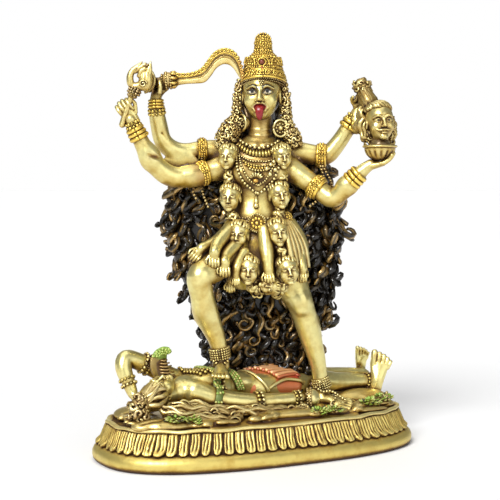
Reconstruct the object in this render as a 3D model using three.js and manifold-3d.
// A cast resin figure: the goddess Kali stands over the lying Shiva on an oval lotus plinth.
// Millimetres, +Z up, the long side of the plinth along X, the origin in the middle of its underside.
import * as THREE from 'three';
import { mergeVertices } from 'three/addons/utils/BufferGeometryUtils.js';
import Module from 'manifold-3d';

const wasm = await Module();
wasm.setup();

// Driving dimensions of the plinth
const PLINTH_LENGTH = 160;
const PLINTH_WIDTH = 84.8;
const BAND_HEIGHT = 10.4;
const PETAL_HEIGHT = 6.2;
const RIM_THICKNESS = 2.2;
const RIM_SETBACK = 6;
const PETAL_COUNT = 60;
const PETAL_RELIEF = 1.5;
const SQUARENESS = 2.6;

// Driving dimensions of the two figures
const STANDING_HEIGHT = 180;
const STANDING_TURN = 27.6;
const LYING_LENGTH = 141;

// The poses are drawn at these sizes, and every figure keeps its proportions as shares of them
const DRAWN_HEIGHT = 180;
const DRAWN_LENGTH = 141;

const PLINTH_TOP = BAND_HEIGHT + PETAL_HEIGHT + RIM_THICKNESS;
const UP = new THREE.Vector3(0, 0, 1);
const FRONT = new THREE.Vector3(0, -1, 0);

const finish = {
  name: 'antique_gold_paint',
  color: 0xc9b878,
  roughness: 0.42,
  metalness: 0.35,
};

// Kali is drawn with X to her left, -Y in front of her and Z from the top of the plinth
const standing = new THREE.Matrix4()
  .makeRotationZ(THREE.MathUtils.degToRad(-STANDING_TURN))
  .scale(new THREE.Vector3().setScalar(STANDING_HEIGHT / DRAWN_HEIGHT))
  .setPosition(0, 0, PLINTH_TOP);

// Shiva is drawn along the plinth, his head at -X, with Z from the top of the plinth
const lying = new THREE.Matrix4()
  .makeScale(LYING_LENGTH / DRAWN_LENGTH, LYING_LENGTH / DRAWN_LENGTH, LYING_LENGTH / DRAWN_LENGTH)
  .setPosition(0, 0, PLINTH_TOP);

// The faces between two rings, of which one may have twice the points of the other
function strip(index, here, count, above, countAbove) {
  const corners = Math.min(count, countAbove);
  for (let i = 0; i < corners; i++) {
    const next = (i + 1) % corners;
    if (count === countAbove) {
      index.push(here + i, here + next, above + next, here + i, above + next, above + i);
    } else if (count < countAbove) {
      const between = above + 2 * i + 1;
      index.push(here + i, here + next, between, here + i, between, above + 2 * i, here + next, above + 2 * next, between);
    } else {
      const between = here + 2 * i + 1;
      index.push(here + 2 * i, between, above + i, between, here + 2 * next, above + next, between, above + next, above + i);
    }
  }
}

// A closed body through rings of points, with a point or a flat fan at each end
function loft(rings, firstTip, lastTip) {
  const positions = [];
  for (const point of [...rings.flat(), firstTip, lastTip]) positions.push(point.x, point.y, point.z);
  const index = [];
  let here = 0;
  for (let r = 0; r + 1 < rings.length; r++) {
    strip(index, here, rings[r].length, here + rings[r].length, rings[r + 1].length);
    here += rings[r].length;
  }
  const bottom = rings[0].length;
  const top = rings[rings.length - 1].length;
  const first = here + top;
  for (let i = 0; i < bottom; i++) index.push(first, (i + 1) % bottom, i);
  for (let i = 0; i < top; i++) index.push(first + 1, here + i, here + ((i + 1) % top));
  const geometry = new THREE.BufferGeometry();
  geometry.setAttribute('position', new THREE.Float32BufferAttribute(positions, 3));
  geometry.setIndex(index);
  return geometry;
}

// A round or flattened limb through stations of x, y, z, half width and half depth
function limb(stations, sides = 7, face = FRONT, tip = 0.5) {
  const centres = stations.map(([x, y, z]) => new THREE.Vector3(x, y, z));
  const rings = stations.map(([, , , width, depth = width], s) => {
    const before = centres[Math.max(s - 1, 0)];
    const after = centres[Math.min(s + 1, centres.length - 1)];
    const along = after.clone().sub(before).normalize();
    const facing = face.clone().addScaledVector(along, -face.dot(along)).normalize();
    const across = new THREE.Vector3().crossVectors(facing, along);
    const ring = [];
    for (let i = 0; i < sides; i++) {
      const angle = (i * 2 * Math.PI) / sides;
      const point = centres[s].clone();
      point.addScaledVector(across, width * Math.cos(angle));
      point.addScaledVector(facing, depth * Math.sin(angle));
      ring.push(point);
    }
    return ring;
  });
  const end = (at, from, reach) => at.clone().addScaledVector(at.clone().sub(from).normalize(), reach * tip);
  const n = stations.length - 1;
  const firstTip = end(centres[0], centres[1], stations[0][4] ?? stations[0][3]);
  const lastTip = end(centres[n], centres[n - 1], stations[n][4] ?? stations[n][3]);
  return loft(rings, firstTip, lastTip);
}

// A rounded lump with three half sizes, turned about Z and then leaned about Y, in degrees
function lump(centre, half, detail = 1, turn = 0, lean = 0) {
  const geometry = new THREE.IcosahedronGeometry(1, detail);
  geometry.scale(...half);
  geometry.rotateY(THREE.MathUtils.degToRad(lean));
  geometry.rotateZ(THREE.MathUtils.degToRad(turn));
  geometry.translate(...centre);
  return geometry;
}

// A turned body about a standing axis, from a profile of radius and height
function turned(x, y, profile, segments = 12) {
  const geometry = new THREE.LatheGeometry(profile.map(([r, z]) => new THREE.Vector2(r, z)), segments);
  geometry.rotateX(Math.PI / 2);
  geometry.translate(x, y, 0);
  return geometry;
}

// A closed mesh with its faces turned outwards
function solid(geometry, place) {
  geometry.deleteAttribute('normal');
  geometry.deleteAttribute('uv');
  geometry.applyMatrix4(place);
  const merged = mergeVertices(geometry, 1e-4);
  const p = merged.attributes.position;
  const index = Array.from(merged.index.array);
  const a = new THREE.Vector3();
  const b = new THREE.Vector3();
  const c = new THREE.Vector3();
  const kept = [];
  let volume = 0;
  for (let i = 0; i < index.length; i += 3) {
    const [i0, i1, i2] = index.slice(i, i + 3);
    if (i0 === i1 || i1 === i2 || i2 === i0) continue;
    volume += a.fromBufferAttribute(p, i0).dot(b.fromBufferAttribute(p, i1).cross(c.fromBufferAttribute(p, i2)));
    kept.push(i0, i1, i2);
  }
  if (volume < 0) kept.reverse();
  return new wasm.Manifold(new wasm.Mesh({
    numProp: 3,
    vertProperties: new Float32Array(p.array),
    triVerts: new Uint32Array(kept),
  }));
}

// One ring of the plinth's oval, set in from its widest line, with every second point raised by relief
function oval(setback, height, points, relief = 0) {
  const ring = [];
  const power = 2 / SQUARENESS;
  for (let i = 0; i < points; i++) {
    const angle = (i * 2 * Math.PI) / points;
    const across = Math.cos(angle);
    const deep = Math.sin(angle);
    const out = (i % 2 === 1 ? relief : 0) - setback;
    ring.push(new THREE.Vector3(
      (PLINTH_LENGTH / 2 + out) * Math.sign(across) * Math.abs(across) ** power,
      (PLINTH_WIDTH / 2 + out) * Math.sign(deep) * Math.abs(deep) ** power,
      height,
    ));
  }
  return ring;
}

// The plinth: a rounded band, a ring of hanging petals, and a slab with a rolled rim
function plinth() {
  const petalTop = BAND_HEIGHT + PETAL_HEIGHT;
  const rings = [
    oval(1.2, 0, PETAL_COUNT),
    oval(0, BAND_HEIGHT * 0.5, PETAL_COUNT),
    oval(2.2, BAND_HEIGHT * 0.96, PETAL_COUNT),
    oval(3, BAND_HEIGHT + 0.4, PETAL_COUNT * 2, PETAL_RELIEF),
    oval(RIM_SETBACK + PETAL_RELIEF * 0.6, petalTop - 0.3, PETAL_COUNT * 2, PETAL_RELIEF * 0.6),
    oval(RIM_SETBACK - 0.2, petalTop + RIM_THICKNESS * 0.35, PETAL_COUNT),
    oval(RIM_SETBACK + 0.4, PLINTH_TOP, PETAL_COUNT),
  ];
  return loft(rings, new THREE.Vector3(0, 0, 0), new THREE.Vector3(0, 0, PLINTH_TOP));
}

// Levels of a small head from chin to crown: height, half width, front, back, nose and eye socket
const smallLevels = [
  [-0.9, 0.34, 0.5, 0.2, 0.04, 0], [-0.2, 0.62, 0.66, 0.6, 0.3, 0], [0.14, 0.67, 0.64, 0.7, 0.16, 0.14],
  [0.42, 0.78, 0.76, 0.78, 0, 0], [0.85, 0.56, 0.5, 0.56, 0, 0],
];

// A head lofted through its levels, with its crown along up and its face along face
function headForm(centre, size, up, face, levels = smallLevels, sides = 8) {
  const rings = levels.map(([height, width, front, back, nose, socket]) => {
    const ring = [];
    for (let i = 0; i < sides; i++) {
      const angle = (i * 2 * Math.PI) / sides;
      const ahead = Math.cos(angle);
      const dent = i === 1 || i === sides - 1 ? socket : 0;
      const reach = ahead > 0 ? front * ahead + (i === 0 ? nose : 0) - dent : back * ahead;
      ring.push(new THREE.Vector3(width * Math.sin(angle), -reach, height));
    }
    return ring;
  });
  const chin = new THREE.Vector3(0, -0.1, levels[0][0] - 0.1);
  const top = new THREE.Vector3(0, 0, levels[levels.length - 1][0] + 0.18);
  const geometry = loft(rings, chin, top);
  const z = new THREE.Vector3(...up).normalize();
  const ahead = new THREE.Vector3(...face);
  const y = ahead.addScaledVector(z, -ahead.dot(z)).normalize().negate();
  const x = new THREE.Vector3().crossVectors(y, z);
  geometry.scale(size, size, size);
  geometry.applyMatrix4(new THREE.Matrix4().makeBasis(x, y, z).setPosition(...centre));
  return geometry;
}

// A fist round a grip, lofted along the grip so that its four fingers show as ridges
function fist([x, y, z], size, grip) {
  const along = new THREE.Vector3(...grip).normalize();
  const stations = [];
  const steps = 6;
  for (let k = 0; k <= steps; k++) {
    const at = new THREE.Vector3(x, y, z).addScaledVector(along, (k / steps - 0.5) * 1.9 * size);
    const ridge = k % 2 === 1 ? 0.98 : 0.78;
    stations.push([...at.toArray(), size * ridge, size * ridge]);
  }
  return limb(stations, 6);
}

// Kali's trunk with its collar and belt, her neck, legs and feet
function body() {
  return [
    limb([
      [0.5, -1, 80, 16, 11], [0.5, 0.3, 87.4, 15.4, 10.2], [0.5, 0.3, 88, 16.4, 11], [0.5, 0.3, 91, 15.6, 10.4],
      [0.5, 0, 97, 14.4, 8.8], [0.5, 0, 106, 15.4, 9.5], [0.5, -0.5, 114, 17, 10], [0.9, 0, 118.4, 15.6, 10.4],
      [1.2, 0.8, 124, 10.4, 8.2], [1.4, 0.6, 127.6, 6.6, 6.4], [1.4, 0.5, 128.2, 5.3, 5], [1.5, 0, 139, 5.3, 5],
    ], 10, FRONT, 0.1),
    limb([
      [-6, 2, 80, 9.5], [-13, -9, 75, 9], [-20.5, -18, 69.5, 7.6], [-26, -23, 65, 6.6], [-25.4, -21.6, 57, 6.4],
      [-24, -18.5, 51, 6.9], [-21.6, -15, 43, 5.6], [-18.8, -12.6, 35.6, 4.6], [-18.6, -12.5, 34.8, 5.4],
      [-17.3, -12, 30, 5], [-16.9, -11.5, 24, 4],
    ]),
    limb([[-16.9, -8, 23, 3.4, 3], [-16.8, -16, 23.4, 3.9, 3], [-16.6, -25, 21.8, 4.6, 1.8], [-16.6, -28, 21.2, 4, 1]], 7, UP),
    limb([
      [8.5, 1, 80, 9.5], [12, 1.5, 70, 9], [16.5, 2, 60, 7.8], [21, 2, 50, 6.4], [25, 5, 37, 5.9],
      [28.4, 6.8, 25.6, 4.8], [30.4, 7.9, 15.6, 3.9], [30.6, 8, 14.6, 4.9], [31.5, 8.3, 9.8, 4.7], [31.8, 8.6, 3.4, 3.8],
    ]),
    limb([[29.5, 9.5, 3.2, 3.2, 3.2], [36, 6.5, 4.4, 4, 3.2], [41, 4.5, 2.8, 4.2, 2], [45.5, 3, 1.6, 4, 1.4], [48.4, 2.2, 1.4, 3.4, 0.9]], 7, UP),
  ];
}

// Kali's four arms with their armlets and bracelets as raised bands
function arms() {
  return [
    limb([
      [-11, 3, 121.5, 6], [-17.5, 3, 123.3, 5], [-24.4, 2.2, 124.2, 4.1], [-24.8, 2.1, 124.2, 5.1], [-27.2, 1.8, 124.1, 5],
      [-33.5, 1, 123, 3.9], [-40, 0, 124, 4.4], [-44.4, -1, 128.2, 4.4], [-46.1, -2.6, 135.4, 4.1],
      [-46.9, -3.6, 140.2, 3.9], [-47.6, -4.3, 146.2, 3.8], [-47, -4.6, 149, 3],
    ], 6),
    limb([
      [-10, -1, 116, 6], [-17, -2, 115.2, 5.2], [-23.8, -3.6, 113.2, 4.6], [-24.2, -3.8, 113, 5.6], [-26.6, -4.5, 112.5, 5.5],
      [-33, -6.4, 111, 4.6], [-40.5, -8, 111.4, 4.9], [-46.4, -9.4, 115.6, 4.7], [-51.2, -11, 122.5, 4.3],
      [-54.4, -12.2, 128.9, 4.1], [-56.9, -13.1, 133.8, 4], [-58.5, -13.6, 137, 3],
    ], 6),
    limb([
      [11, 3, 121.5, 6], [17.6, 3, 123, 5.2], [28.6, 2.3, 121.4, 4.4], [29.2, 2.2, 121.2, 5.4], [32, 2, 120.8, 5.2],
      [35, 1.8, 122.6, 4.2], [39.8, 1, 129, 3.6], [43.2, 0.2, 134.4, 3.7], [45.6, -0.2, 138.4, 3.6], [47.4, -0.6, 141.5, 2.8],
    ], 6),
    limb([
      [10, -1, 116.5, 6], [15.6, -2.4, 115, 5.2], [26, -5.4, 107.6, 4.4], [26.6, -5.6, 107.1, 5.4], [29, -6.3, 105.1, 5.2],
      [34, -8, 100.8, 4.4], [38.2, -9.8, 103.4, 4.2], [43.6, -11.8, 108.8, 3.9], [46.2, -12.6, 111.4, 4],
      [49.6, -13.6, 114.6, 3.8], [52.4, -14, 116.4, 2.7],
    ], 6),
  ];
}

// Kali's four hands: three fists and a flat palm
function hands() {
  return [
    fist([-46.4, -5, 153.8], 4, [1, 0, 0.1]),
    fist([-59.8, -14, 141.4], 4.3, [0.4, 0, 1]),
    fist([49.4, -2.4, 146.6], 3.8, [0.4, 0, 1]),
    limb([[51.4, -14, 116, 2.6, 2.4], [57, -13.6, 116.6, 4, 1.8], [61.4, -13.4, 119, 3.8, 1.4], [64.4, -13.2, 122.4, 3, 0.9]], 6, UP),
  ];
}

// The curved sword: a grip with its end plate and socket, and a blade whose tip meets the crown
function sword() {
  const edge = [
    [-42.5, 159.4], [-34.8, 158.8], [-28.6, 159.6], [-24.6, 162.6], [-21.4, 167], [-17.4, 170.3], [-12.6, 170.4],
    [-8.8, 167], [-7, 161.5], [-6.6, 156.5], [-8.4, 156], [-10, 160.6], [-13.4, 163.4], [-17, 163],
    [-20.2, 160], [-23, 156], [-28, 154.6], [-42.5, 152.8],
  ];
  const outline = new THREE.Shape(edge.map(([x, z]) => new THREE.Vector2(x, z)));
  const blade = new THREE.ExtrudeGeometry(outline, { depth: 2.4, bevelEnabled: false, steps: 1 });
  blade.rotateX(Math.PI / 2);
  blade.translate(0, -3.6, 0);
  return [
    blade,
    limb([[-50.4, -6, 154.2, 4.6, 3.4], [-49, -5.8, 154.3, 5.6, 4.2], [-47.8, -5.7, 154.6, 2.4]], 7, UP, 0.2),
    limb([[-43.8, -5, 155.2, 2.6], [-42.6, -5, 155.6, 3.6, 3], [-39.4, -4.9, 156.2, 4, 2]], 7, FRONT, 0.1),
  ];
}

// The short trident above the other right fist
function trident() {
  return [
    limb([[-61.8, -14, 136, 1.5], [-58.2, -14, 146.4, 1.5], [-57, -14, 148.6, 2.6], [-55.8, -14, 151.6, 2]], 5),
    limb([[-55.4, -14, 151.4, 1.8], [-60, -14, 153.8, 1.8], [-61, -14, 158, 1.7], [-58.4, -14, 161.8, 1.5], [-53.6, -14, 164.4, 0.8]], 4),
    limb([[-55.8, -14, 150.6, 2], [-53.4, -14, 156, 3, 1.8], [-52.2, -14, 161, 1.8, 1.3], [-51.4, -14, 165.4, 0.6]], 6),
    limb([[-55.6, -14, 150.4, 1.8], [-51.4, -12.6, 151.2, 2.2], [-49.4, -10, 156, 2.2], [-48.8, -9.6, 164, 0.7]], 4),
  ];
}

// The severed head hangs by its topknot, over a ribbed bowl
function severedHead() {
  return [
    headForm([57.2, -12, 136.6], 8.9, [0.05, 0, 1], [0.25, -1, 0]),
    limb([[49, -3.6, 157, 4.4, 3.8], [49.8, -4, 153.6, 5.4, 4.6], [51.8, -6.8, 148.4, 4.4], [55.6, -10.6, 143.6, 5.6, 5]], 7),
    limb([[50.6, -7.6, 147, 3.4], [50.2, -8, 140, 3.6], [50.8, -8.8, 134, 3.2], [53.2, -10.4, 127.4, 3]], 6),
    limb([[57.4, -12, 131, 3.8], [57, -12.6, 122.6, 3.6]], 6),
    turned(56.8, -13, [
      [0, 116.8], [3.6, 117.2], [6.4, 120.6], [7.5, 124.2], [8.3, 125.6], [7.2, 126], [5.6, 123.6], [0, 123],
    ], 10),
  ];
}

// Levels of Kali's head from chin to hair, as for the small heads
const largeLevels = [
  [-0.96, 0.28, 0.5, 0.1, 0.06, 0], [-0.76, 0.5, 0.74, 0.36, 0.04, 0.02], [-0.5, 0.64, 0.8, 0.6, 0.14, 0],
  [-0.24, 0.72, 0.82, 0.78, 0.28, 0], [0.1, 0.77, 0.8, 0.88, 0.14, 0.1], [0.34, 0.79, 0.84, 0.92, 0.02, 0],
  [0.8, 0.7, 0.7, 0.8, 0, 0],
];

// Kali's head with her eyes, the long tongue, her ears and the big ear discs
function head() {
  const middle = 1.8;
  const pair = (make) => [make(-1), make(1)];
  return [
    headForm([middle, -1, 148.6], 10.4, [0, 0, 1], [0, -1, 0], largeLevels, 12),
    limb([[middle, -9, 144.4, 1.9, 0.9], [middle, -10.6, 141.4, 1.9, 0.8], [middle, -10, 138.6, 1.2, 0.7]], 5),
    ...pair((side) => lump([middle + side * 8.2, -0.6, 147.4], [1.2, 2, 3.2], 0)),
    limb([[-7.4, -3.6, 136.8, 3.4], [-8.2, 2, 136.8, 3.4]], 7, UP, 0.2),
    limb([[10.9, -3.8, 134.6, 4.2, 3.5], [11.7, 2, 134.6, 4.2, 3.5]], 7, UP, 0.2),
  ];
}

// The tall crown of rounded tiers, with lobes round its middle tier
function crown() {
  const levels = [
    [10.8, 151, 0], [11.2, 157.6, 0.4], [9.4, 159.6, 0], [8.4, 163.6, 2], [6.6, 166.6, 1.4], [4.7, 169.6, 0],
    [5.2, 174, 0], [4, 177.6, 0],
  ];
  const segments = 12;
  const rings = levels.map(([radius, height, lobe]) => {
    const ring = [];
    for (let i = 0; i < segments; i++) {
      const angle = (i * 2 * Math.PI) / segments;
      const reach = radius + (i % 2 === 0 ? lobe : 0);
      ring.push(new THREE.Vector3(2.9 + reach * Math.cos(angle), reach * Math.sin(angle), height));
    }
    return ring;
  });
  return loft(rings, new THREE.Vector3(2.9, 0, 150), new THREE.Vector3(2.9, 0, 180));
}

// The long garland of severed heads, joined by twists of hair
function garland() {
  const places = [
    [-13.4, -7.6, 120.2, 5.6, 0], [-12.4, -8.4, 101.2, 6.2, 0], [-8.6, -13, 84, 6.2, 6], [-4, -17.6, 67.8, 6.3, 4],
    [11.6, -7.6, 120.2, 5.6, 0], [10.4, -9.2, 102.4, 6.2, -6], [9.6, -12.6, 85, 6.2, -6], [14.2, -14.8, 67.6, 6.4, -10],
    [5.6, -12.4, 61.6, 4.8, 68],
  ];
  const links = [
    [[-13.4, -7.6, 114, 2], [-12.6, -7.6, 107, 2]], [[-11.6, -8.6, 95, 2], [-9.6, -11, 90, 2]],
    [[-7.6, -13, 78, 2], [-5.2, -15.4, 73, 2]], [[12, -7.6, 114, 2], [10.8, -8, 108, 2]],
    [[10, -8.8, 96, 2], [9.4, -11.2, 91, 2]], [[10, -13, 79, 2], [13, -14.4, 74, 2]],
  ];
  const heads = places.map(([x, y, z, size, lean]) => {
    const angle = THREE.MathUtils.degToRad(lean);
    return headForm([x, y, z], size, [Math.sin(angle), 0, Math.cos(angle)], FRONT.toArray());
  });
  return [...heads, ...links.map((stations) => limb(stations, 4))];
}

// The skirt: a round clasp, a core, and severed forearms that hang from the belt
function skirt() {
  return [
    limb([[0.5, -2, 84, 16.4, 11.6], [0.5, -4, 76, 17.6, 13.4], [1.6, -5, 64, 15.6, 11.6]], 10, FRONT, 0.1),
    limb([[-0.1, -8, 89.6, 3.9], [-0.1, -12.4, 89.6, 3.9]], 8, UP, 0.15),
    limb([[-12, -8, 88, 3], [-18, -15, 81.6, 2.8], [-24.6, -20.6, 76.6, 2.2]], 5),
    limb([[-24.6, -21, 76.6, 2], [-28, -23.2, 74.4, 3, 1.6], [-32, -25, 71.4, 2.4, 0.9]], 6, UP),
    limb([[-12, -10, 87, 2.8], [-17.4, -17, 79.6, 2.7], [-19.2, -20.6, 74.6, 2.1]], 5),
    limb([[-19.2, -20.8, 74.8, 2], [-20, -22.2, 71, 2.9, 1.5], [-21, -22.6, 66.4, 2.3, 0.9]], 6),
    limb([[-9, -12.4, 80, 2.6], [-14.8, -19, 70, 2.3], [-16.2, -20, 62.4, 2.4, 1.2]], 5),
    limb([[3.6, -11.6, 84, 3.2], [4.4, -14.8, 75, 3.3], [5, -16.4, 66.6, 2.3]], 5),
    limb([[14, -6, 90, 3.2], [18.6, -9.6, 82, 3.4], [20.4, -12, 72, 2.9], [20.2, -13.4, 66, 2.2], [19.6, -13.8, 60, 2.6, 1.2]], 5),
    limb([[16, -2, 89, 3], [20.6, -3.4, 80, 3.2], [21.8, -4.4, 70, 2.4], [21.6, -4.6, 62, 2.4, 1.4]], 5),
  ];
}

// The stations of the great fall of hair behind Kali, from her nape to the plinth
const hairFall = [
  [1.4, 6, 140, 9, 6], [0.6, 9, 130, 17, 8], [-0.6, 11, 121, 28, 8.5], [-1.4, 13, 111, 36, 9], [-1.6, 14, 99, 38, 9.5],
  [-1.6, 15, 86, 38.5, 10], [-1, 16, 72, 36.5, 10], [0.8, 17, 57, 32.5, 9.6], [2, 18, 42, 28, 9], [3, 18.5, 28, 25, 8.6],
  [4, 19, 14, 23.5, 8.2], [4.4, 19, -1, 23.5, 8.4],
];

// The fall of hair: one body whose rings zigzag into wavy locks, with lumps along each lock
function hairBody() {
  const points = 26;
  const levels = 12;
  const rings = [];
  for (let level = 0; level <= levels; level++) {
    const at = (level / levels) * (hairFall.length - 1);
    const low = Math.min(Math.floor(at), hairFall.length - 2);
    const mixed = hairFall[low].map((value, k) => THREE.MathUtils.lerp(value, hairFall[low + 1][k], at - low));
    const [x, y, z, width, depth] = mixed;
    const ring = [];
    for (let i = 0; i < points; i++) {
      const angle = (i * 2 * Math.PI) / points + 0.1 * Math.sin(level * 1.7 + i * 0.35);
      const lift = (i % 2 === 0 ? 1.8 : -1) + 1.2 * Math.sin(level * 2.3 + i * 1.7);
      ring.push(new THREE.Vector3(x + (width + lift) * Math.cos(angle), y + (depth + lift) * Math.sin(angle), z));
    }
    rings.push(ring);
  }
  const [x, y, z] = hairFall[0];
  const [footX, footY, footZ] = hairFall[hairFall.length - 1];
  return loft(rings, new THREE.Vector3(x, y, z + 2), new THREE.Vector3(footX, footY, footZ));
}

// The fall of hair, curls that stand out at its sides, and curls on the shoulders
function hair() {
  const pieces = [hairBody()];
  const curls = [
    [[-36, 13, 110], [-41.5, 14, 108], [-42.6, 15, 103]], [[-36, 14, 94], [-42, 15, 91.6], [-45.6, 15, 86.6]],
    [[-37, 15, 80], [-41, 15, 76], [-42, 15, 71.6]], [[36, 13, 99], [40, 15, 92], [43.6, 15, 84.4]],
  ];
  for (const [a, b, c] of curls) pieces.push(limb([[...a, 4.4], [...b, 3.4], [...c, 1.7]], 5));
  const shoulder = [
    [[-8.4, 1.6, 144, 2.6], [-9.6, 1.6, 138, 3.4], [-13, 2.6, 132, 4.4], [-16, 3.4, 127, 3.6]],
    [[11.4, 2, 146, 2.6], [12.8, 2.2, 140, 3.4], [14.8, 3, 133.6, 4.2], [18.4, 4.6, 127.4, 3.4]],
  ];
  for (const stations of shoulder) pieces.push(limb(stations, 6));
  return pieces;
}

// Shiva's trunk, arms and legs, with the hand drum in his near hand
function lyingBody() {
  const sole = new THREE.Vector3(1, 0, 0);
  return [
    limb([
      [-45, -3, 12.5, 4.4, 4.2], [-39, -0.5, 13, 8.6, 6.6], [-30, 0.6, 13.4, 11, 7.4], [-22, 1.4, 13, 10.4, 7.4],
      [-13, 2, 11.8, 9, 6.8], [5, 2.6, 10.8, 9.6, 7],
    ], 8, UP),
    lump([-26.4, -3, 18.2], [6, 5, 3.4], 0),
    limb([[-36, 7, 15, 5], [-46, 8.6, 20, 4.3], [-56, 8.8, 25.2, 4.2], [-63.6, 8.4, 28.6, 4.3], [-66, 6.8, 23.4, 3.9],
      [-63.6, 4, 15.8, 3], [-62.6, 1, 9, 3.2, 2.4], [-60.6, -1.6, 4.6, 2.6, 1.8]], 6),
    limb([[-35, -7, 12.4, 5.2], [-25, -12.4, 8.6, 4.7], [-10, -16.4, 6.6, 4.4], [0, -17.6, 6.6, 4.2], [11, -18.6, 7.4, 3.2], [16, -19.4, 7.2, 3]], 6),
    limb([[14.4, -17.2, 7.2, 4.4], [18.2, -19.4, 7, 3], [22.6, -21.8, 6.8, 4.9]], 7, UP, 0.06),
    limb([[2, -1.6, 10.8, 7], [15, 0.6, 10.6, 6.6], [30, 4, 10.2, 5.8], [45, 6.6, 9.8, 5], [57, 7.2, 9.8, 4.5], [67, 7, 9.8, 3.4]], 6, UP),
    limb([[3, 8, 11.4, 7], [18, 11, 11.4, 6.4], [34, 13.4, 11, 5.6], [48, 14.4, 10.6, 4.9], [60, 14.2, 10.8, 4.2], [67, 14, 11.2, 3.4]], 6, UP),
    limb([[70.4, 6.8, 4.6, 3.2, 3.2], [71.4, 6.4, 10, 3.7, 3.6], [72.4, 6, 16, 3.8, 2.6], [73, 5.6, 20.6, 4, 1.6], [73.4, 5.4, 23, 3.2, 0.9]], 6, sole),
    limb([[68.6, 14, 7.6, 3, 3], [69, 13.8, 12.6, 3.5, 3.2], [69.6, 13.6, 18, 3.6, 2.4], [70.2, 13.4, 23.6, 3.6, 1.4]], 6, sole),
  ];
}

// Shiva's head lies back with its face upward, its matted hair drawn to a topknot
function lyingHead() {
  return [
    headForm([-53.4, -5.4, 12.4], 8.4, [-1, -0.3, -0.35], [-0.1, -0.35, 1], smallLevels, 8),
    limb([[-54, -6, 9, 6.8], [-60, -7.6, 8.4, 6.6], [-65, -9.6, 6.4, 4.4], [-68, -11, 5.6, 2.6]], 7, UP),
    limb([[-58, -12, 8, 2.4], [-52, -17, 5, 2.6], [-44, -20, 3.4, 2.4], [-34, -19, 3, 2.2], [-24, -21, 2.4, 1.6]], 5, UP),
    limb([[-50, -12, 7, 2.4], [-42, -15, 5.4, 2.4], [-32, -17.6, 4.2, 2.4], [-18, -22.4, 3, 2], [-6, -23.4, 2.4, 1.6]], 5, UP),
  ];
}

// The cobra at Shiva's neck, the two snake bands over his chest, and the cloth at his hips
function lyingDress() {
  const along = new THREE.Vector3(1, 0, 0);
  return [
    limb([[-43, 9, 12, 3, 2.6], [-45.4, 8.4, 18, 4.4, 2.2], [-46.8, 8, 24.6, 5.4, 2], [-46.6, 7, 29, 3.8, 2.2], [-43.8, 5.4, 30.8, 2.2, 1.6]], 6),
    limb([[-27.6, 10, 15, 1.5], [-26.8, 3, 21, 1.7], [-26.6, -4, 20.6, 1.7], [-27.6, -12.6, 8, 1.6]], 4, along),
    limb([[-13.6, 9.4, 14, 1.4], [-15, 0, 18.6, 1.6], [-13, -9, 12, 1.5]], 4, along),
    limb([[-4, 2.2, 11.6, 10, 8], [6, 3.2, 11.4, 11.4, 8.2], [17, 5.4, 10.8, 12.4, 7.4]], 9, UP, 0.15),
    lump([14, 8, 16], [11, 5.4, 3.6], 0, 14, 6),
    lump([25, 8.6, 12.6], [6.4, 6, 4.4], 0, 0, 8),
  ];
}

// A low leafy bush, lofted with its leaves as a zigzag
function bush(x, y, z) {
  const sides = 10;
  const rings = [[7, -1.6], [8, 0.6], [5.6, 3.2], [2.6, 4.6]].map(([reach, height], level) => {
    const ring = [];
    for (let i = 0; i < sides; i++) {
      const angle = (i * 2 * Math.PI) / sides;
      const out = reach * ((i + level) % 2 === 0 ? 1 : 0.72);
      ring.push(new THREE.Vector3(x + out * Math.cos(angle), y + 0.62 * out * Math.sin(angle), z + height));
    }
    return ring;
  });
  return loft(rings, new THREE.Vector3(x, y, z - 2), new THREE.Vector3(x, y, z + 5));
}

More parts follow.
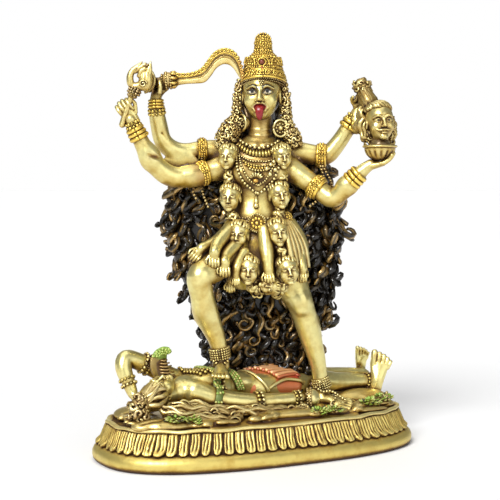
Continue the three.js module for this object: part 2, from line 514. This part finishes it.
// The ground: a rough mat of rock and hide under the figures, a paw, and three leafy bushes
function ground() {
  const count = 18;
  const ring = (share, height) => {
    const points = [];
    for (let i = 0; i < count; i++) {
      const angle = (i * 2 * Math.PI) / count;
      const rough = share * (1 + 0.05 * Math.sin(5 * angle + 1) + 0.03 * Math.cos(9 * angle));
      const x = 66 * rough * Math.sign(Math.cos(angle)) * Math.abs(Math.cos(angle)) ** 0.8;
      const y = 29 * rough * Math.sign(Math.sin(angle)) * Math.abs(Math.sin(angle)) ** 0.8;
      points.push(new THREE.Vector3(x, y, height + 0.5 * Math.sin(3 * angle)));
    }
    return points;
  };
  const rings = [ring(1, -1), ring(0.97, 1.6), ring(0.72, 5)];
  const pieces = [
    loft(rings, new THREE.Vector3(0, 0, -1), new THREE.Vector3(4, 4, 6)),
    limb([[-4, -26, 2, 3.4, 2], [-11, -27, 2, 3, 2], [-18.6, -26, 2, 4, 2.2]], 6, UP),
  ];
  for (const [x, y, z] of [[-48, -24.6, 2], [19, -28.6, 1.6], [52, -20, 2]]) pieces.push(bush(x, y, z));
  return pieces;
}

// Everything that is drawn standing and everything that is drawn lying, each in its own place
const still = new THREE.Matrix4();
const bodies = [
  solid(plinth(), still),
  ...[body(), arms(), hands(), sword(), trident(), severedHead(), head(), crown(), garland(), skirt(), hair()]
    .flat().map((geometry) => solid(geometry, standing)),
  ...[lyingBody(), lyingHead(), lyingDress(), ground()].flat().map((geometry) => solid(geometry, lying)),
];
const joined = bodies.reduce((all, next) => all.add(next)).getMesh();

// The casting is solid, so of all closed skins only the outer one is kept
function outerSkin(points, triangles) {
  const parent = Array.from({ length: points.length / 3 }, (_, i) => i);
  const rootOf = (i) => {
    let at = i;
    while (parent[at] !== at) at = parent[at] = parent[parent[at]];
    return at;
  };
  for (let t = 0; t < triangles.length; t += 3) {
    parent[rootOf(triangles[t])] = rootOf(triangles[t + 1]);
    parent[rootOf(triangles[t + 1])] = rootOf(triangles[t + 2]);
  }
  const skins = new Map();
  for (let t = 0; t < triangles.length; t += 3) {
    const root = rootOf(triangles[t]);
    if (!skins.has(root)) skins.set(root, []);
    skins.get(root).push(triangles[t], triangles[t + 1], triangles[t + 2]);
  }
  return [...skins.values()].reduce((largest, skin) => (skin.length > largest.length ? skin : largest));
}

const casting = new THREE.BufferGeometry();
casting.setAttribute('position', new THREE.BufferAttribute(joined.vertProperties, 3));
casting.setIndex(outerSkin(joined.vertProperties, joined.triVerts));
casting.computeVertexNormals();

const figure = new THREE.Mesh(casting, new THREE.MeshStandardMaterial(finish));
figure.name = 'kali_figure';

const model = new THREE.Group();
model.add(figure);

export default model;
